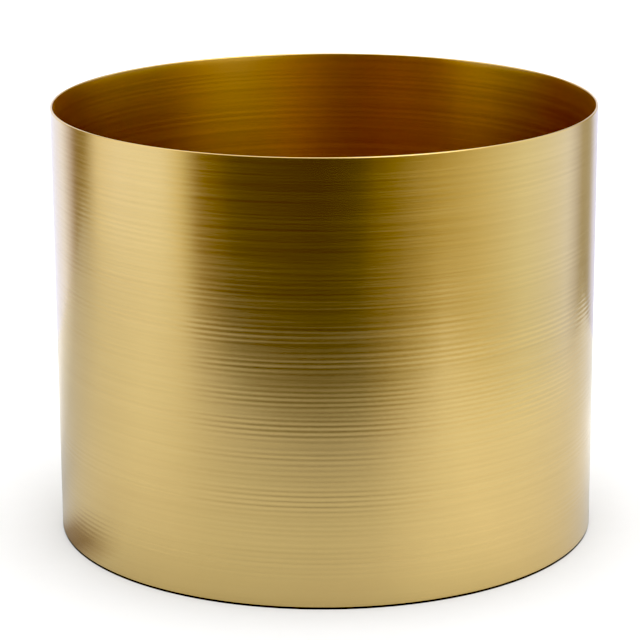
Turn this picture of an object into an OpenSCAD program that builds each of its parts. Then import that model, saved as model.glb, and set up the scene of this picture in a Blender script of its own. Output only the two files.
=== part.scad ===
// Straight-sided brass planter pot: a rolled and seam-welded sleeve around a pressed base pan.
// Units are millimetres. The origin is on the pot's axis in the plane that it rests on, and +Z is up.
// The sleeve's butt seam lies on the +X side.

/* [Sleeve] */
// Outside diameter of the sleeve
outer_d = 250; // [200:5:400]
// Height from the resting plane to the top of the lip
height = 200; // [100:5:400]
// Thickness of the sleeve's brass sheet
sheet_t = 1; // [0.8:0.1:2]
// Width of the gap between the sheet's two edges, which the seam weld fills
seam_w = 0.6; // [0.4:0.1:1.2]
// Clearance between the resting plane and the sleeve's lower edge
skirt_gap = 1; // [0.5:0.1:1.5]

/* [Base pan] */
// Thickness of the pan's brass sheet
pan_t = 1; // [0.8:0.1:2]
// Height of the pan, from its underside to the top of its flange
pan_h = 12; // [8:1:20]
// Inner radius of the bend between the pan's floor and its flange
bend_r = 1.5; // [1:0.5:3]
// Radius of the raised panel that stiffens the floor, as a share of the pan's radius
panel_share = 0.62; // [0.4:0.02:0.66]
// How far that panel is pressed up
panel_rise = 1.5; // [1:0.5:3]
// Height of the solder fillet above the flange
fillet_h = 1.5; // [1:0.1:2]

/* [Feet] */
// Diameter of a rubber foot
foot_d = 20; // [12:1:24]
// Height from the resting plane to the pan, which a foot and its adhesive disc fill
foot_h = 3; // [2:0.1:4]
// Thickness of the adhesive disc above each foot
adhesive_t = 0.3; // [0.1:0.1:0.5]

/* [Hidden] */
$fn = 180;
outer_r = outer_d / 2;
inner_r = outer_r - sheet_t;
lip_r = sheet_t / 2;                          // the lip is rounded over the sheet's whole thickness
seam_angle = 2 * asin(seam_w / 2 / outer_r);  // the angle that the weld takes up

pan_z = foot_h;                               // underside of the pan
bend_outer_r = bend_r + pan_t;
flange_inner_r = inner_r - pan_t;
flat_r = inner_r - bend_outer_r;              // where the flat floor ends and the bend begins
panel_r = panel_share * inner_r;
step_w = panel_rise;                          // the step up to the panel slopes at 45 degrees
step_foot_r = panel_r + step_w;
step_land = pan_t * (sqrt(2) - 1);            // keeps the sloped step as thick as the sheet
flange_top = pan_z + pan_h;

foot_count = 4;
foot_ring_r = (step_foot_r + flat_r) / 2;     // the feet stand midway along the flat ring of the floor
foot_edge = 0.6;                              // bevel around a foot's lower edge
adhesive_inset = 0.5;                         // the adhesive disc is smaller than its foot by this, all round

// Section through the wall, with radius along X and height along Y.
module wall_section() {
    translate([inner_r, skirt_gap])
        square([sheet_t, height - lip_r - skirt_gap]);
    translate([inner_r + lip_r, height - lip_r])
        circle(r = lip_r);
}

// The rolled sheet, open by seam_w where its two edges face each other.
module wall_sleeve() {
    color("goldenrod")
        rotate_extrude(angle = 360 - seam_angle, start = seam_angle / 2)
            wall_section();
}

// The weld that closes the sleeve, dressed flush with both faces and with the lip.
module seam_weld() {
    color("darkgoldenrod")
        rotate_extrude(angle = seam_angle, start = -seam_angle / 2)
            wall_section();
}

// Quarter ring in section, where the pan's floor turns up into its flange.
module pan_bend_section() {
    translate([flat_r, pan_z + bend_outer_r])
        intersection() {
            difference() {
                circle(r = bend_outer_r);
                circle(r = bend_r);
            }
            translate([0, -bend_outer_r])
                square(bend_outer_r);
        }
}

// Section through the pan's floor: the raised panel, the sloped step and the flat ring.
module pan_floor_section() {
    polygon([
        [0, pan_z + panel_rise],
        [panel_r - step_land, pan_z + panel_rise],
        [step_foot_r - step_land, pan_z],
        [flat_r, pan_z],
        [flat_r, pan_z + pan_t],
        [step_foot_r, pan_z + pan_t],
        [panel_r, pan_z + pan_t + panel_rise],
        [0, pan_z + pan_t + panel_rise]
    ]);
}

// The pressed pan that closes the sleeve, with its flange standing up against the wall.
module base_pan() {
    color("darkkhaki")
        rotate_extrude() {
            pan_floor_section();
            pan_bend_section();
            translate([flange_inner_r, pan_z + bend_outer_r])
                square([pan_t, pan_h - bend_outer_r]);
        }
}

// The solder fillet in the corner between the flange's top edge and the wall.
module base_solder() {
    color("silver")
        rotate_extrude()
            polygon([
                [flange_inner_r, flange_top],
                [inner_r, flange_top],
                [inner_r, flange_top + fillet_h]
            ]);
}

// Moves its child to the place of one foot. The feet are numbered anticlockwise from above, from +X.
module at_foot(number) {
    rotate(360 / foot_count * (number - 0.5))
        translate([foot_ring_r, 0, 0])
            children();
}

// One rubber foot, from the resting plane up to its adhesive disc.
module foot(number) {
    rubber_h = foot_h - adhesive_t;
    color("dimgray")
        at_foot(number) {
            cylinder(r1 = foot_d / 2 - foot_edge, r2 = foot_d / 2, h = foot_edge);
            translate([0, 0, foot_edge])
                cylinder(d = foot_d, h = rubber_h - foot_edge);
        }
}

// The adhesive discs that hold the feet to the pan.
module foot_adhesives() {
    color("lightgray")
        for (number = [1 : foot_count])
            at_foot(number)
                translate([0, 0, foot_h - adhesive_t])
                    cylinder(r = foot_d / 2 - adhesive_inset, h = adhesive_t);
}

wall_sleeve();
seam_weld();
base_pan();
base_solder();
foot(1);  // foot_1
foot(2);  // foot_2
foot(3);  // foot_3
foot(4);  // foot_4
foot_adhesives();
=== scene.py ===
"""Looks of a straight-sided brass planter pot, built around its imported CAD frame. Metres, +Z up."""
import math
import random

import bpy
import numpy as np
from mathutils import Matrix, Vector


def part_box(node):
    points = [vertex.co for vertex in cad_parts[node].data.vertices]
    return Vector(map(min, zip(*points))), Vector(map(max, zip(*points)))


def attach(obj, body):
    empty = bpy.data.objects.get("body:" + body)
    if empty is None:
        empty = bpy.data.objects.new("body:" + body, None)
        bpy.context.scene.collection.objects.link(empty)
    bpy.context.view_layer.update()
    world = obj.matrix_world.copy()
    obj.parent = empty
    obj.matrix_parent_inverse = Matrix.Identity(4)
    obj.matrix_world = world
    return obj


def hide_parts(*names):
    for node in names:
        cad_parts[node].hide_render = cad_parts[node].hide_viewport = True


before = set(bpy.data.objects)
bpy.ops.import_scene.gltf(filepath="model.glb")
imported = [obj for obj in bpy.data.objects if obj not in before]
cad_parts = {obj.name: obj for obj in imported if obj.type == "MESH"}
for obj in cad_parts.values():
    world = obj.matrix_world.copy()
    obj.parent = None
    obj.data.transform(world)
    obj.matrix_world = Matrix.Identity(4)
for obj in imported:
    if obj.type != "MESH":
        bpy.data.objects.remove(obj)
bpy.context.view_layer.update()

MM = 0.001
TAU = 2 * math.pi

# ---------------------------------------------------------------------------------------------
# Sizes, read from the CAD nodes. A profile point is (radius, height).
# ---------------------------------------------------------------------------------------------
wall_low, wall_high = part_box("wall_sleeve")
weld_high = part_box("seam_weld")[1]
pan_low, pan_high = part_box("base_pan")
solder_low, solder_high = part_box("base_solder")

OUTER_R = wall_high.x
TOP = wall_high.z
SKIRT = wall_low.z
INNER_R = pan_high.x
SHEET_T = OUTER_R - INNER_R           # the wall and the pan are of the same sheet
LIP_R = SHEET_T / 2
SEAM_HALF_ANGLE = math.asin(weld_high.y / OUTER_R)
PAN_Z = pan_low.z
FLANGE_TOP = pan_high.z
BEND_R = 1.5 * MM                     # inner radius of the pan's bend
PANEL_R = 0.62 * INNER_R              # raised panel in the pan's floor
PANEL_RISE = 1.5 * MM
FOOT_NODES = ["foot_1", "foot_2", "foot_3", "foot_4"]

# Relief of the wall. It moves both faces towards the axis, so the outer face stays inside the CAD box.
RIDGE_PEAK = 0.026 * MM               # turned lines, peak height before LINE_DEPTHS
LINE_HEIGHTS = (0.54 * TOP, 0.66 * TOP)
LINE_DEPTHS = (1.75, 0.7)             # the lines are heavier below the first height than above the second
WAVE_PEAK = 0.05 * MM                 # slow waviness of the rolled sheet, peak height
EDGE_FADE = 3 * MM                    # the relief dies out this near the lip and the lower edge
WALL_COLUMNS = 192
WALL_ROWS = 600


# ---------------------------------------------------------------------------------------------
# Mesh helpers
# ---------------------------------------------------------------------------------------------
def arc(centre, radius, start_deg, end_deg, steps):
    """Profile points along a circular arc, both ends included."""
    points = []
    for i in range(steps + 1):
        a = math.radians(start_deg + (end_deg - start_deg) * i / steps)
        points.append((centre[0] + radius * math.cos(a), centre[1] + radius * math.sin(a)))
    return points


def ladder(start, end, steps):
    """Profile points along a straight line, without its two ends."""
    return [
        (start[0] + (end[0] - start[0]) * i / steps, start[1] + (end[1] - start[1]) * i / steps)
        for i in range(1, steps)
    ]


def add_piece(name, verts, faces):
    """A smooth-shaded mesh object in the scene."""
    mesh = bpy.data.meshes.new(name)
    mesh.from_pydata(verts, [], faces)
    mesh.validate()
    mesh.polygons.foreach_set("use_smooth", [True] * len(mesh.polygons))
    mesh.update()
    piece = bpy.data.objects.new(name, mesh)
    bpy.context.scene.collection.objects.link(piece)
    return piece


def turn_angles(segments, start, sweep):
    """Angles of a turned shape's columns. A part turn has one more column than it has segments,
    and a hair-thin strip at each end, which keeps the end faces from bending the shading."""
    if abs(sweep - TAU) < 1e-9:
        return start + sweep * np.arange(segments) / segments
    angles = start + sweep * np.arange(segments + 1) / segments
    hair = 0.03 * MM / OUTER_R
    return np.insert(angles, [1, segments], [angles[0] + hair, angles[-1] - hair])


def revolve(name, profile, segments, start=0.0, sweep=TAU, relief=None):
    """Turns a closed profile loop about Z. A full turn has no end caps, and a part turn gets two.

    relief(radius, height, angle) gives how far each point moves inwards, as arrays.
    """
    full = abs(sweep - TAU) < 1e-9
    angles = turn_angles(segments, start, sweep)
    columns = len(angles)
    section = np.array(profile)
    radius, angle = np.meshgrid(section[:, 0], angles)
    height = np.meshgrid(section[:, 1], angles)[0]
    if relief is not None:
        radius = radius - relief(radius, height, angle)
    verts = np.stack([radius * np.cos(angle), radius * np.sin(angle), height], axis=-1)
    verts = verts.reshape(-1, 3).tolist()
    count = len(profile)
    on_axis = [point[0] == 0.0 for point in profile]

    def corner(column, i):
        """A point on the axis is shared by all the columns."""
        return i if on_axis[i] else (column % columns) * count + i

    faces = []
    for j in range(columns if full else columns - 1):
        for i in range(count):
            k = (i + 1) % count
            ring = (corner(j, i), corner(j + 1, i), corner(j + 1, k), corner(j, k))
            face = tuple(dict.fromkeys(ring))
            if len(face) > 2:
                faces.append(face)
    if not full:
        faces.append(tuple(reversed(range(count))))
        faces.append(tuple(range((columns - 1) * count, columns * count)))
    used = sorted({index for face in faces for index in face})
    place = {index: n for n, index in enumerate(used)}
    faces = [tuple(place[index] for index in face) for face in faces]
    return add_piece(name, [verts[index] for index in used], faces)


def finish_piece(piece, material, slot_name, *nodes):
    """Gives a piece its material, hangs it under the root body and hides the CAD nodes that it stands for.
    """
    piece.data.materials.append(material)
    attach(piece, "root")
    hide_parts(*nodes)
    return piece


# ---------------------------------------------------------------------------------------------
# Wall
# ---------------------------------------------------------------------------------------------
def wave_set(seed, count, low, high):
    """Seeded sine waves as rows of (wave number, phase, weight, drift, drift phase)."""
    draw = random.Random(seed)
    rows = []
    for _ in range(count):
        pitch = draw.uniform(low, high)
        rows.append((
            TAU / pitch,
            draw.uniform(0, TAU),
            draw.uniform(0.4, 1.0),
            draw.uniform(0.3, 1.6),
            draw.uniform(0, TAU),
        ))
    return rows


TURNED_LINES = wave_set(11, 9, 2.1 * MM, 3.0 * MM)
SHEET_WAVES = [                        # (turns round the pot, waves up its height, phase, weight)
    (2, 0.5, 0.4, 1.0),
    (3, 0.8, 2.1, 0.7),
    (5, 1.3, 4.0, 0.45),
    (7, 0.6, 1.3, 0.3),
]


def line_relief(height, angle):
    """Turned lines, from 0 to 1: they run round the wall and drift a little as they go."""
    total = np.zeros_like(height)
    weights = 0.0
    for number, phase, weight, drift, drift_phase in TURNED_LINES:
        total += weight * np.sin(number * height + phase + drift * np.sin(angle + drift_phase))
        weights += weight
    return np.clip(0.5 + total / weights, 0, 1)


def sheet_relief(height, angle):
    """Slow waviness of the rolled sheet, from 0 to 1."""
    total = np.zeros_like(height)
    weights = 0.0
    for turns, waves, phase, weight in SHEET_WAVES:
        total += weight * np.sin(turns * angle + TAU * waves * height / TOP + phase)
        weights += weight
    return 0.5 + 0.5 * total / weights


def wall_relief(radius, height, angle):
    """Both faces share the sheet's waviness, and the lines are only on the outer face."""
    outside = np.clip((radius - (INNER_R + 0.7 * SHEET_T)) / (0.3 * SHEET_T), 0, 1)
    edge = np.clip((TOP - height) / EDGE_FADE, 0, 1) * np.clip((height - SKIRT) / EDGE_FADE, 0, 1)
    depth = RIDGE_PEAK * np.interp(height, LINE_HEIGHTS, LINE_DEPTHS)
    return edge * (depth * line_relief(height, angle) * outside + WAVE_PEAK * sheet_relief(height, angle))


def wall_profile(outer_steps, inner_steps):
    """Closed section of the sheet: up the outside, over the rounded lip and down the inside."""
    edge = 0.15 * MM                   # the lower edge is broken by this radius
    low_out = arc((OUTER_R - edge, SKIRT + edge), edge, -90, 0, 3)
    lip = arc((INNER_R + LIP_R, TOP - LIP_R), LIP_R, 0, 180, 14)
    low_in = arc((INNER_R + edge, SKIRT + edge), edge, 180, 270, 3)
    return (
        low_out + ladder(low_out[-1], lip[0], outer_steps) + lip
        + ladder(lip[-1], low_in[0], inner_steps) + low_in
    )


def build_wall(material):
    """The rolled sheet, open by the width of the weld. Its inner face needs few rows."""
    piece = revolve(
        "wall_sleeve_sheet", wall_profile(WALL_ROWS, WALL_ROWS // 10), WALL_COLUMNS,
        SEAM_HALF_ANGLE, TAU - 2 * SEAM_HALF_ANGLE, wall_relief,
    )
    return finish_piece(piece, material, "brass_wall", "wall_sleeve")


def build_weld(material):
    """The dressed weld: the sheet's section, a touch thinner at its middle, and rippled."""
    dip = 0.008 * MM
    ripple_pitch = 1.1 * MM

    def dressed(radius, height, angle):
        across = 1 - (angle / SEAM_HALF_ANGLE) ** 2
        side = np.sign(radius - (INNER_R + LIP_R))
        ripple = 0.6 + 0.4 * np.sin(TAU * height / ripple_pitch)
        return wall_relief(radius, height, angle) + side * dip * across * ripple
    piece = revolve(
        "seam_weld_strip", wall_profile(WALL_ROWS, WALL_ROWS), 4,
        -SEAM_HALF_ANGLE, 2 * SEAM_HALF_ANGLE, dressed,
    )
    return finish_piece(piece, material, "brass_weld", "seam_weld")


# ---------------------------------------------------------------------------------------------
# Base
# ---------------------------------------------------------------------------------------------
def pan_profile():
    """Closed section of the pressed pan, along its underside and back over its upper face."""
    blend = 1.2 * MM                   # radius of the soft corners of the panel's step
    swing = blend * math.tan(math.radians(22.5))
    step_foot = PANEL_R + PANEL_RISE
    flat_r = INNER_R - BEND_R - SHEET_T
    under, over = PAN_Z, PAN_Z + SHEET_T
    top_edge = SHEET_T / 2
    panel_steps, blend_steps, flat_steps, bend_steps = 24, 5, 14, 10
    lower = (
        [(0.0, under + PANEL_RISE)]
        + ladder((0.0, under + PANEL_RISE), (PANEL_R - 2 * blend, under + PANEL_RISE), panel_steps)
        + arc((PANEL_R - swing, under + PANEL_RISE - blend), blend, 90, 45, blend_steps)
        + arc((step_foot + swing, under + blend), blend, 225, 270, blend_steps)
        + ladder((step_foot + 2 * blend, under), (flat_r, under), flat_steps)
        + arc((flat_r, under + BEND_R + SHEET_T), BEND_R + SHEET_T, -90, 0, bend_steps)
    )
    rim = arc((INNER_R - top_edge, FLANGE_TOP - top_edge), top_edge, 0, 180, 8)
    upper = (
        arc((flat_r, over + BEND_R), BEND_R, 0, -90, bend_steps)
        + ladder((flat_r, over), (step_foot + 2 * blend, over), flat_steps)
        + arc((step_foot + swing, over + blend), blend, 270, 225, blend_steps)
        + arc((PANEL_R - swing, over + PANEL_RISE - blend), blend, 45, 90, blend_steps)
        + ladder((PANEL_R - 2 * blend, over + PANEL_RISE), (0.0, over + PANEL_RISE), panel_steps)
        + [(0.0, over + PANEL_RISE)]
    )
    return lower + rim + upper


def build_pan(material):
    """The pressed pan, turned in one piece."""
    piece = revolve("base_pan_pressing", pan_profile(), 256)
    return finish_piece(piece, material, "brass_base", "base_pan")


def build_solder(material):
    """Concave fillet whose height wanders a little round the pot, as run solder does."""
    rise = solder_high.z - solder_low.z
    leg = SHEET_T
    reach = 0.98 * leg                 # how far it comes over the flange's top
    low = solder_low.z - 0.3 * MM      # it wets the flange's rounded top edge
    wander_rise = 0.25 * MM
    steps = 8
    face = []
    for i in range(steps + 1):
        a = math.radians(90 * i / steps)
        face.append((INNER_R - reach * (1 - math.sin(a)), solder_low.z + rise * (1 - math.cos(a))))
    profile = [(INNER_R - reach, low), (INNER_R, low), (INNER_R, solder_high.z)] + face[::-1]

    def run(radius, height, angle):
        slow = 0.2 * np.sin(9 * angle + 0.5)
        quick = 0.15 * np.sin(23 * angle) + 0.15 * np.sin(61 * angle + 2)
        free = np.clip((INNER_R - radius) / leg, 0, 1) * np.clip((height - low) / rise, 0, 1)
        return -wander_rise * (0.5 + slow + quick) * free
    piece = revolve("base_solder_fillet", profile, 256, relief=run)
    return finish_piece(piece, material, "solder", "base_solder")


# ---------------------------------------------------------------------------------------------
# Feet
# ---------------------------------------------------------------------------------------------
DISC_SEGMENTS = 72


def move_to(piece, x, y):
    """Puts a piece that was turned about Z where its CAD node is, in its vertices."""
    for vertex in piece.data.vertices:
        vertex.co.x += x
        vertex.co.y += y


def build_foot(node, material):
    """Moulded rubber disc: rounded edges, a shallow ring groove and a slightly hollow sole."""
    low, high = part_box(node)
    radius = (high.x - low.x) / 2
    edge = 0.6 * MM                    # radius of the lower edge, and the upper one has a third of it
    hollow = 0.15 * MM
    groove_r, groove_w, groove_d = 0.62 * radius, 0.7 * MM, 0.35 * MM
    sole = [(0.0, low.z + hollow), (0.3 * radius, low.z + hollow / 1.5), (groove_r - groove_w, low.z)]
    groove = arc((groove_r, low.z), groove_w / 2, 180, 0, 6)
    groove = [(r, low.z + min(groove_d, z - low.z)) for r, z in groove]
    profile = (
        sole + groove
        + arc((radius - edge, low.z + edge), edge, -90, 0, 6)
        + arc((radius - edge / 3, high.z - edge / 3), edge / 3, 0, 90, 4)
        + [(0.0, high.z)]
    )
    piece = revolve(node + "_pad", profile, DISC_SEGMENTS)
    move_to(piece, (low.x + high.x) / 2, (low.y + high.y) / 2)
    return finish_piece(piece, material, "foot_rubber", node)


def build_adhesives(material):
    """The adhesive discs under the pan, one above each foot, as one piece like their CAD node."""
    low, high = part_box("foot_adhesives")
    bulge = 0.06 * MM                  # the squeezed edge swells by this much
    hole = 0.01 * MM                   # each disc has a hair-thin hole on its axis
    verts, faces = [], []
    for node in FOOT_NODES:
        foot_low, foot_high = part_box(node)
        x, y = (foot_low.x + foot_high.x) / 2, (foot_low.y + foot_high.y) / 2
        radius = high.x - max(abs(x), abs(y))
        profile = (
            [(hole, low.z), (radius - bulge, low.z)]
            + arc((radius - bulge, (low.z + high.z) / 2), bulge, -60, 60, 4)
            + [(radius - bulge, high.z), (hole, high.z)]
        )
        disc = revolve("disc", profile, DISC_SEGMENTS)
        move_to(disc, x, y)
        base = len(verts)
        verts += [tuple(v.co) for v in disc.data.vertices]
        faces += [tuple(base + i for i in p.vertices) for p in disc.data.polygons]
        mesh = disc.data
        bpy.data.objects.remove(disc)
        bpy.data.meshes.remove(mesh)
    piece = add_piece("foot_adhesive_discs", verts, faces)
    return finish_piece(piece, material, "foot_adhesive", "foot_adhesives")


# ---------------------------------------------------------------------------------------------
# Node helpers
# ---------------------------------------------------------------------------------------------
class Graph:
    """Short calls for building one node tree. A value may be a socket or a plain number."""

    def __init__(self, tree):
        self.tree = tree
        tree.nodes.clear()

    def add(self, kind, **settings):
        node = self.tree.nodes.new(kind)
        for key, value in settings.items():
            setattr(node, key, value)
        return node

    def feed(self, socket, value):
        if isinstance(value, bpy.types.NodeSocket):
            self.tree.links.new(value, socket)
        else:
            socket.default_value = value

    def math(self, operation, a, b=0.0):
        node = self.add("ShaderNodeMath", operation=operation)
        self.feed(node.inputs[0], a)
        self.feed(node.inputs[1], b)
        return node.outputs[0]

    def weighted(self, a, share_a, b, share_b):
        """Weighted sum of two values."""
        return self.math("ADD", self.math("MULTIPLY", a, share_a), self.math("MULTIPLY", b, share_b))

    def axes(self, vector):
        """The X, Y and Z of a vector."""
        node = self.add("ShaderNodeSeparateXYZ")
        self.feed(node.inputs[0], vector)
        return node.outputs

    def from_axis(self, x, y):
        """Distance from the pot's axis."""
        squares = self.math("ADD", self.math("MULTIPLY", x, x), self.math("MULTIPLY", y, y))
        return self.math("SQRT", squares)

    def between(self, value, low, high, to_low=0.0, to_high=1.0):
        """Maps low..high to to_low..to_high smoothly, and holds the ends."""
        node = self.add("ShaderNodeMapRange", interpolation_type="SMOOTHSTEP")
        for name, v in (("Value", value), ("From Min", low), ("From Max", high),
                        ("To Min", to_low), ("To Max", to_high)):
            self.feed(node.inputs[name], v)
        return node.outputs["Result"]

    def mix(self, factor, a, b, blend="MIX"):
        node = self.add("ShaderNodeMix", data_type="RGBA", blend_type=blend)
        self.feed(node.inputs["Factor"], factor)
        self.feed(node.inputs["A"], a)
        self.feed(node.inputs["B"], b)
        return node.outputs["Result"]

    def times(self, colour, other):
        """Two colours multiplied."""
        return self.mix(1.0, colour, other, "MULTIPLY")

    def noise(self, place, counts, detail, roughness=0.5):
        """Noise with about so many features a metre along X, Y and Z."""
        stretched = self.add("ShaderNodeVectorMath", operation="MULTIPLY")
        self.feed(stretched.inputs[0], place)
        self.feed(stretched.inputs[1], counts)
        node = self.add("ShaderNodeTexNoise", noise_dimensions="3D")
        self.feed(node.inputs["Vector"], stretched.outputs[0])
        self.feed(node.inputs["Scale"], 1.0)
        self.feed(node.inputs["Detail"], detail)
        self.feed(node.inputs["Roughness"], roughness)
        return node.outputs["Fac"]

    def ramp(self, factor, stops):
        """Colour ramp of (position, (r, g, b)) stops."""
        node = self.add("ShaderNodeValToRGB")
        elements = node.color_ramp.elements
        while len(elements) < len(stops):
            elements.new(1.0)
        for element, (position, colour) in zip(elements, stops):
            element.position = position
            element.color = (*colour, 1.0)
        self.feed(node.inputs["Fac"], factor)
        return node.outputs["Color"]

    def bump(self, height, distance):
        node = self.add("ShaderNodeBump")
        self.feed(node.inputs["Height"], height)
        self.feed(node.inputs["Distance"], distance)
        return node.outputs["Normal"]


def new_material(name):
    """A material with an empty graph that ends in one Principled shader."""
    material = bpy.data.materials.new(name)
    material.use_nodes = True
    graph = Graph(material.node_tree)
    shader = graph.add("ShaderNodeBsdfPrincipled")
    output = graph.add("ShaderNodeOutputMaterial")
    graph.tree.links.new(shader.outputs[0], output.inputs["Surface"])
    place = graph.add("ShaderNodeTexCoord").outputs["Object"]
    return material, graph, shader, place


def rgba(r, g, b):
    return (r, g, b, 1.0)


def grey(value):
    return rgba(value, value, value)


def even(count):
    """The same number of noise features a metre along X, Y and Z."""
    return (count, count, count)


# ---------------------------------------------------------------------------------------------
# Materials
# ---------------------------------------------------------------------------------------------
BRASS_OUT = rgba(0.80, 0.595, 0.235)
BRASS_IN = rgba(0.90, 0.622, 0.11)
BRASS_WORN = rgba(0.82, 0.59, 0.23)    # bare metal of the lip and the lower edge
BRASS_TARNISH = rgba(0.72, 0.46, 0.20)
WELD_OUT = rgba(0.74, 0.52, 0.22)
WELD_IN = rgba(0.72, 0.46, 0.05)
HEAT_TINT = rgba(0.62, 0.36, 0.16)     # beside the weld
HEAT_TINT_REACH = 5 * MM
BRUSH_DEPTH = 0.008 * MM
LACQUER = 0.6


def brass_colour(g, place, outside, tone, edge_wear, out_colour, in_colour, heat_tint):
    """Pale yellow outside, deeper yellow inside with painted shade that darkens it low down, scored by the
    brushing.
    """
    x, y, z = g.axes(place)
    # painted shade: the inside darkens from just under the lip to six tenths of the height, and stays dark
    # below, where less light reaches
    painted_shade_low_inside = g.times(in_colour, rgba(0.72, 0.66, 0.5))
    inner = g.mix(g.between(z, 0.60 * TOP, 0.98 * TOP), painted_shade_low_inside, in_colour)
    colour = g.mix(outside, inner, out_colour)
    colour = g.mix(g.between(tone, 0.3, 0.7), g.times(colour, rgba(0.97, 0.96, 0.94)), colour)
    lines = g.noise(place, (4.0, 4.0, 800.0), 2.0)
    score = g.mix(outside, rgba(0.87, 0.855, 0.83), rgba(0.97, 0.965, 0.95))
    colour = g.mix(g.between(lines, 0.35, 0.65), g.times(colour, score), colour)
    cloud = g.noise(place, (14.0, 14.0, 20.0), 3.0)
    colour = g.mix(g.between(cloud, 0.35, 0.75, 0.0, 0.10), colour, BRASS_TARNISH)
    colour = g.mix(edge_wear, colour, BRASS_WORN)
    if heat_tint:
        beside = g.between(g.math("ABSOLUTE", y), HEAT_TINT_REACH, HEAT_TINT_REACH / 5)
        beside = g.math("MULTIPLY", beside, g.math("GREATER_THAN", x, 0.0))
        colour = g.mix(g.math("MULTIPLY", beside, 0.22), colour, HEAT_TINT)
    return colour


def brushed_brass(name, out_colour, in_colour, heat_tint):
    """Satin brass, brushed round the pot, under clear lacquer on the outside."""
    material, g, shader, place = new_material(name)
    x, y, z = g.axes(place)
    outside = g.between(g.from_axis(x, y), INNER_R + 0.3 * SHEET_T, INNER_R + 0.7 * SHEET_T)
    lip = g.between(z, TOP - 1.1 * MM, TOP - 0.5 * MM)
    skirt = g.between(z, SKIRT + 0.5 * MM, SKIRT)
    fine = g.noise(place, (40.0, 40.0, 4200.0), 2.0, 0.6)
    strands = g.noise(place, (9.0, 9.0, 1300.0), 3.0)
    bands = g.noise(place, (5.0, 5.0, 260.0), 2.0)

    tone = g.weighted(fine, 0.45, strands, 0.55)
    edge_wear = g.math("MULTIPLY", g.math("MAXIMUM", lip, skirt), g.between(strands, 0.25, 0.6, 0.6, 1.0))
    colour = brass_colour(g, place, outside, tone, edge_wear, out_colour, in_colour, heat_tint)
    g.feed(shader.inputs["Base Color"], colour)

    rough = g.between(strands, 0.3, 0.7, 0.185, 0.24)
    rough = g.math("ADD", rough, g.between(bands, 0.3, 0.7, -0.01, 0.01))
    rough_inside = g.between(strands, 0.3, 0.7, 0.260, 0.270)
    g.feed(shader.inputs["Roughness"], g.mix(outside, rough_inside, rough))

    relief = g.weighted(strands, 0.75, fine, 0.25)
    relief = g.math("MULTIPLY", relief, g.between(outside, 0.0, 1.0, 0.55, 1.0))
    g.feed(shader.inputs["Normal"], g.bump(relief, BRUSH_DEPTH))

    shader.inputs["Metallic"].default_value = 1.0
    shader.inputs["Anisotropic"].default_value = 0.7
    shader.inputs["Anisotropic Rotation"].default_value = 0.25
    tangent = g.add("ShaderNodeTangent", direction_type="RADIAL", axis="Z")
    g.feed(shader.inputs["Tangent"], tangent.outputs[0])
    lacquered = g.math("MULTIPLY", outside, g.math("SUBTRACT", 1.0, lip))
    g.feed(shader.inputs["Coat Weight"], g.math("MULTIPLY", lacquered, LACQUER))
    shader.inputs["Coat Roughness"].default_value = 0.12
    shader.inputs["Coat IOR"].default_value = 1.45
    return material


def pressed_brass():
    """Dull rolled sheet for the base: fine grain along X, cloudy tarnish and dark spots."""
    material, g, shader, place = new_material("pressed_brass")
    grain = g.noise(place, (40.0, 2400.0, 40.0), 3.0, 0.55)
    cloud = g.noise(place, even(30.0), 4.0, 0.55)
    spots = g.noise(place, even(420.0), 2.0)
    colour = g.mix(g.between(grain, 0.3, 0.7), rgba(0.60, 0.40, 0.14), rgba(0.74, 0.52, 0.20))
    colour = g.mix(g.between(cloud, 0.45, 0.75, 0.0, 0.5), colour, rgba(0.52, 0.33, 0.13))
    colour = g.mix(g.between(spots, 0.66, 0.74, 0.0, 0.5), colour, rgba(0.24, 0.14, 0.06))
    g.feed(shader.inputs["Base Color"], colour)
    g.feed(shader.inputs["Roughness"], g.between(cloud, 0.3, 0.7, 0.34, 0.46))
    g.feed(shader.inputs["Normal"], g.bump(grain, 0.006 * MM))
    shader.inputs["Metallic"].default_value = 1.0
    shader.inputs["Anisotropic"].default_value = 0.3
    return material


def soft_solder():
    """Tin-grey solder, slightly grainy, with brown flux stains."""
    material, g, shader, place = new_material("soft_solder")
    grain = g.noise(place, even(700.0), 4.0, 0.6)
    stain = g.noise(place, even(60.0), 3.0)
    colour = g.mix(g.between(grain, 0.3, 0.7), rgba(0.42, 0.42, 0.40), rgba(0.62, 0.61, 0.58))
    colour = g.mix(g.between(stain, 0.52, 0.72, 0.0, 0.6), colour, rgba(0.30, 0.20, 0.10))
    g.feed(shader.inputs["Base Color"], colour)
    g.feed(shader.inputs["Roughness"], g.between(grain, 0.3, 0.7, 0.32, 0.5))
    g.feed(shader.inputs["Normal"], g.bump(grain, 0.03 * MM))
    shader.inputs["Metallic"].default_value = 0.9
    return material


def moulded_rubber():
    """Near-black matte rubber with a fine mould texture and a little dust."""
    material, g, shader, place = new_material("moulded_rubber")
    skin = g.noise(place, even(2600.0), 2.0)
    dust = g.noise(place, even(260.0), 4.0, 0.6)
    colour = g.mix(g.between(skin, 0.3, 0.7), rgba(0.018, 0.018, 0.019), rgba(0.032, 0.032, 0.033))
    colour = g.mix(g.between(dust, 0.55, 0.8, 0.0, 0.35), colour, rgba(0.16, 0.15, 0.14))
    g.feed(shader.inputs["Base Color"], colour)
    g.feed(shader.inputs["Roughness"], g.between(dust, 0.3, 0.7, 0.62, 0.8))
    g.feed(shader.inputs["Normal"], g.bump(skin, 0.03 * MM))
    return material


def adhesive_foam():
    """Thin pale foam tape with open cells."""
    material, g, shader, place = new_material("adhesive_foam")
    cells = g.noise(place, even(3200.0), 2.0)
    colour = g.mix(g.between(cells, 0.35, 0.65), rgba(0.42, 0.40, 0.35), rgba(0.64, 0.62, 0.56))
    g.feed(shader.inputs["Base Color"], colour)
    g.feed(shader.inputs["Roughness"], g.between(cells, 0.3, 0.7, 0.7, 0.9))
    g.feed(shader.inputs["Normal"], g.bump(cells, 0.05 * MM))
    return material


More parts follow.
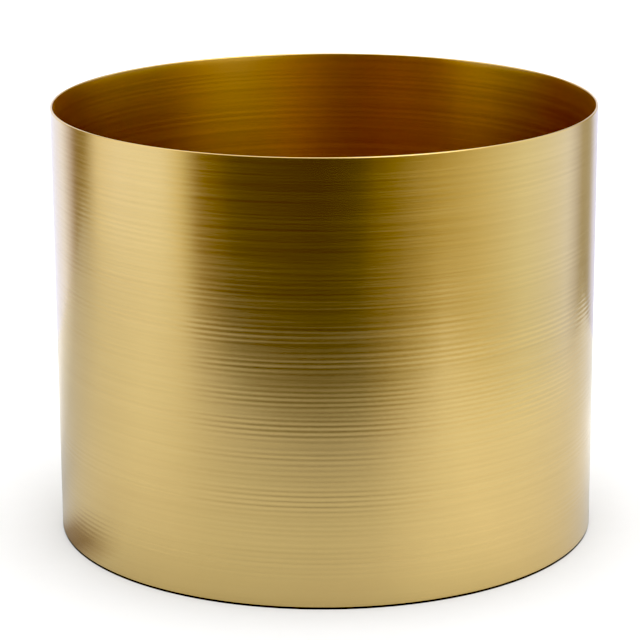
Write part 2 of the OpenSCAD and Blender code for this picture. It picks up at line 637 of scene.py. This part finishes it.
# ---------------------------------------------------------------------------------------------
# The object
# ---------------------------------------------------------------------------------------------
build_wall(brushed_brass("brushed_brass", BRASS_OUT, BRASS_IN, heat_tint=True))
build_weld(brushed_brass("weld_brass", WELD_OUT, WELD_IN, heat_tint=False))
build_pan(pressed_brass())
build_solder(soft_solder())
rubber = moulded_rubber()
for foot_node in FOOT_NODES:
    build_foot(foot_node, rubber)
build_adhesives(adhesive_foam())


# ---------------------------------------------------------------------------------------------
# Stage: a pale floor, and the studio round it. Compass directions are in degrees: 0 is in front
# of the pot, 90 to its right, and 180 behind it. All levels were set one by one.
# ---------------------------------------------------------------------------------------------
FLOOR_HALF = 30.0
# painted shade: near-black colour of the floor under the pot
PAINTED_SHADE_UNDER_POT = rgba(0.02, 0.012, 0.006)

# The white paper under the pot, which only the metal mirrors, with light and shade painted on it
PAPER_LEFT, PAPER_RIGHT = -0.72, 0.38
PAPER_FRONT, PAPER_BACK = -0.39, 0.30
PAPER_LIFT = 0.1 * MM
PAPER_NEAR, PAPER_FAR = 1.1 * OUTER_R, 2.6 * OUTER_R
# painted light: brightness of the paper's colour, by direction, far off and near the pot
PAPER_PAINTED_LIGHT = [                       # (direction, brightness far off, brightness near)
    (-180, 0.74, 1.00), (-155, 0.72, 1.00), (-145, 0.74, 1.00), (-138, 0.74, 0.94),
    (-130, 0.58, 0.76), (-118, 0.46, 0.55), (-106, 0.50, 0.50), (-96, 0.55, 0.58),
    (-83, 0.58, 0.64), (-70, 0.63, 0.61), (-60, 0.61, 0.65), (-36, 0.53, 0.64),
    (0, 0.45, 0.61), (14, 0.46, 0.63), (31, 0.58, 0.73), (49, 0.70, 0.79),
    (68, 0.67, 0.74), (85, 0.64, 0.67), (100, 0.60, 0.68), (115, 0.58, 0.78),
    (130, 0.60, 0.98), (142, 0.66, 1.00), (155, 0.74, 1.00), (180, 0.74, 1.00),
]

# The pot's own shadow, painted on that paper at its left
SHADOW_NEAR, SHADOW_FAR = 1.08 * OUTER_R, 1.35 * OUTER_R
SHADOW_POWERS = (1.0, 1.3, 1.6)        # of red, green and blue, so that it is browner where deeper
SHADOW_LEVELS = [                      # (direction, how much of the light gets by)
    (-180, 1.0), (-92, 1.0), (-86, 0.85), (-79, 0.52),
    (-70, 0.48), (-62, 0.80), (-56, 1.0), (180, 1.0),
]

# The studio that the metal mirrors
STUDIO_RING = [                        # (direction, colour)
    (-180, (0.97, 1.01, 1.24)),
    (-142, (0.97, 1.01, 1.24)),
    (-133, (0.66, 0.62, 0.72)),
    (-127, (0.30, 0.22, 0.12)),
    (-118, (0.30, 0.22, 0.06)),
    (-108, (0.95, 0.92, 0.85)),
    (-95, (1.04, 1.06, 1.18)),
    (-70, (1.04, 1.06, 1.18)),
    (-62, (0.84, 0.78, 0.56)),
    (-53, (0.24, 0.15, 0.0)),
    (-38, (0.092, 0.060, 0.0)),
    (0, (0.064, 0.042, 0.0)),
    (14, (0.076, 0.052, 0.0)),
    (28, (0.22, 0.15, 0.0)),
    (48, (0.50, 0.40, 0.14)),
    (67, (0.76, 0.70, 0.48)),
    (90, (0.92, 0.95, 0.93)),
    (122, (0.92, 0.98, 1.25)),
    (131, (0.66, 0.66, 0.75)),
    (137, (0.46, 0.41, 0.30)),
    (148, (0.46, 0.41, 0.28)),
    (157, (0.80, 0.81, 1.00)),
    (180, (0.88, 0.90, 1.20)),
]
LOW_RIGHT = grey(0.76)                 # the ring is dimmer low down on the right
CEILING = grey(1.15)
KEY_LIGHT = grey(2.4)
KEY_DIRECTION = (0.53, -0.63, 0.57)
KEY_CORE, KEY_EDGE = math.radians(14), math.radians(34)

# What matte surfaces are lit by
DOME_LEFT, DOME_RIGHT = grey(2.05), grey(2.5)
DOME_HORIZON = grey(0.03)
VIA_METAL = rgba(0.25, 0.27, 0.35)     # what the floor gets by way of the metal, kept dim


def flat_sheet(name, x0, y0, x1, y1, z, material):
    """A level rectangle that belongs to the stage."""
    verts = [(x0, y0, z), (x1, y0, z), (x1, y1, z), (x0, y1, z)]
    piece = add_piece(name, verts, [(0, 1, 2, 3)])
    piece.data.materials.append(material)
    return piece


def at(degrees):
    """A compass direction's place on a ramp from 0 to 1."""
    return degrees / 360 + 0.5


def compass_ramp(g, x, y, stops):
    """Colour by compass direction, from (degrees, (r, g, b)) stops."""
    angle = g.math("ARCTAN2", x, g.math("MULTIPLY", y, -1.0))
    turn = g.math("ADD", g.math("DIVIDE", angle, TAU), 0.5)
    return g.ramp(turn, [(at(degrees), colour) for degrees, colour in stops])


def paper_fibre(g, place, dark, pale):
    """The faint uneven grey of paper."""
    return g.mix(g.noise(place, even(90.0), 4.0, 0.6), grey(dark), grey(pale))


def finish_paper(g, shader, colour):
    """Matte paper of this colour."""
    g.feed(shader.inputs["Base Color"], colour)
    shader.inputs["Roughness"].default_value = 0.8
    shader.inputs["Specular IOR Level"].default_value = 0.2


def floor_paper():
    """Pale paper with painted shade under the pot, near black, where almost no light reaches, so that the
    gap reads black.
    """
    material, g, shader, place = new_material("floor_paper")
    x, y, _ = g.axes(place)
    # painted shade inside the pot's footprint, pale paper outside it
    clear = g.between(g.from_axis(x, y), OUTER_R - 0.6 * MM, OUTER_R + 0.2 * MM)
    finish_paper(g, shader, g.mix(clear, PAINTED_SHADE_UNDER_POT, paper_fibre(g, place, 0.94, 0.96)))
    return material


def sheet_paper():
    """White paper with painted light, uneven round the pot, and the pot's painted shadow close in at the
    left.
    """
    material, g, shader, place = new_material("sheet_paper")
    x, y, _ = g.axes(place)
    radius = g.from_axis(x, y)
    # painted light: the paper's colour is brighter or darker by direction and by distance from the pot
    far = compass_ramp(g, x, y, [(degrees, (v, v, v)) for degrees, v, _ in PAPER_PAINTED_LIGHT])
    near = compass_ramp(g, x, y, [(degrees, (v, v, v)) for degrees, _, v in PAPER_PAINTED_LIGHT])
    lit = g.mix(g.between(radius, PAPER_NEAR, PAPER_FAR), near, far)
    # painted shadow of the pot on the paper, close in at its left, browner where deeper
    shade = compass_ramp(g, x, y, [
        (degrees, tuple(v ** power for power in SHADOW_POWERS)) for degrees, v in SHADOW_LEVELS
    ])
    shade = g.mix(g.between(radius, SHADOW_NEAR, SHADOW_FAR), shade, grey(1.0))
    finish_paper(g, shader, g.times(g.times(lit, shade), paper_fibre(g, place, 0.98, 1.0)))
    return material


def build_stage():
    """The floor that the camera sees, and the smaller white paper that only the metal mirrors."""
    floor = flat_sheet("floor", -FLOOR_HALF, -FLOOR_HALF, FLOOR_HALF, FLOOR_HALF, 0.0, floor_paper())
    floor.visible_glossy = False
    paper = flat_sheet("sheet", PAPER_LEFT, PAPER_FRONT, PAPER_RIGHT, PAPER_BACK, PAPER_LIFT, sheet_paper())
    paper.visible_camera = False
    paper.visible_diffuse = False
    paper.visible_shadow = False
    paper.visible_transmission = False


def studio_colour(g, direction, x, y, z):
    """A dark room in front, soft boxes left and right, a white backdrop behind, and a bright
    ceiling with one key light."""
    ring = compass_ramp(g, x, y, STUDIO_RING)
    low_right = g.math("MULTIPLY", g.between(x, 0.1, 0.6), g.between(z, -0.23, -0.28))
    ring = g.mix(low_right, ring, g.times(ring, LOW_RIGHT))
    studio = g.mix(g.between(z, 0.45, 0.85), ring, CEILING)
    aim = g.add("ShaderNodeVectorMath", operation="DOT_PRODUCT")
    g.feed(aim.inputs[0], direction)
    g.feed(aim.inputs[1], KEY_DIRECTION)
    key = g.between(aim.outputs["Value"], math.cos(KEY_EDGE), math.cos(KEY_CORE))
    return g.mix(key, studio, KEY_LIGHT)


def dome_colour(g, x, z):
    """A soft overhead dome, brighter on the right and nearly dark at the horizon."""
    dome = g.mix(g.between(x, -1.0, 1.0), DOME_LEFT, DOME_RIGHT)
    return g.mix(g.between(z, 0.30, 0.90), DOME_HORIZON, dome)


def build_world():
    """White to the camera, the dome to matte surfaces, and the studio to the metal."""
    world = bpy.data.worlds.new("studio")
    bpy.context.scene.world = world
    world.use_nodes = True
    world.cycles.sampling_method = "NONE"
    g = Graph(world.node_tree)
    direction = g.add("ShaderNodeTexCoord").outputs["Generated"]
    x, y, z = g.axes(direction)
    path = g.add("ShaderNodeLightPath")
    after_matte = g.math("MINIMUM", path.outputs["Diffuse Depth"], 1.0)
    shown = g.mix(after_matte, studio_colour(g, direction, x, y, z), VIA_METAL)
    shown = g.mix(path.outputs["Is Diffuse Ray"], shown, dome_colour(g, x, z))
    shown = g.mix(path.outputs["Is Camera Ray"], shown, grey(1.0))
    background = g.add("ShaderNodeBackground")
    g.feed(background.inputs["Color"], shown)
    output = g.add("ShaderNodeOutputWorld")
    g.tree.links.new(background.outputs[0], output.inputs["Surface"])


build_stage()
build_world()


# ---------------------------------------------------------------------------------------------
# Camera and view
# ---------------------------------------------------------------------------------------------
CAMERA_DISTANCE = 9.83 * OUTER_R      # level distance from the pot's axis
CAMERA_HEIGHT = 3.493 * OUTER_R
CAMERA_PITCH = math.radians(15.51)    # below the horizon
CAMERA_YAW = math.radians(0.034)      # to the left of the pot's axis
CAMERA_ROLL = math.radians(0.27)
SENSOR_WIDTH = 36.0                   # mm, as is the focal length
FOCAL_LENGTH = 153.2
BLACK_LEVEL = 0.018                   # anything darker is shown as black

camera_data = bpy.data.cameras.new("camera")
camera_data.lens = FOCAL_LENGTH
camera_data.sensor_width = SENSOR_WIDTH
camera = bpy.data.objects.new("camera", camera_data)
bpy.context.scene.collection.objects.link(camera)
camera.location = (0.0, -CAMERA_DISTANCE, CAMERA_HEIGHT)
camera.rotation_euler = (math.pi / 2 - CAMERA_PITCH, CAMERA_ROLL, CAMERA_YAW)
bpy.context.scene.camera = camera

scene = bpy.context.scene
scene.view_settings.view_transform = "Standard"
scene.view_settings.use_curve_mapping = True
scene.view_settings.curve_mapping.black_level = (BLACK_LEVEL, BLACK_LEVEL, BLACK_LEVEL)
scene.view_settings.curve_mapping.update()
scene.cycles.max_bounces = 16
scene.cycles.glossy_bounces = 12
scene.cycles.diffuse_bounces = 4
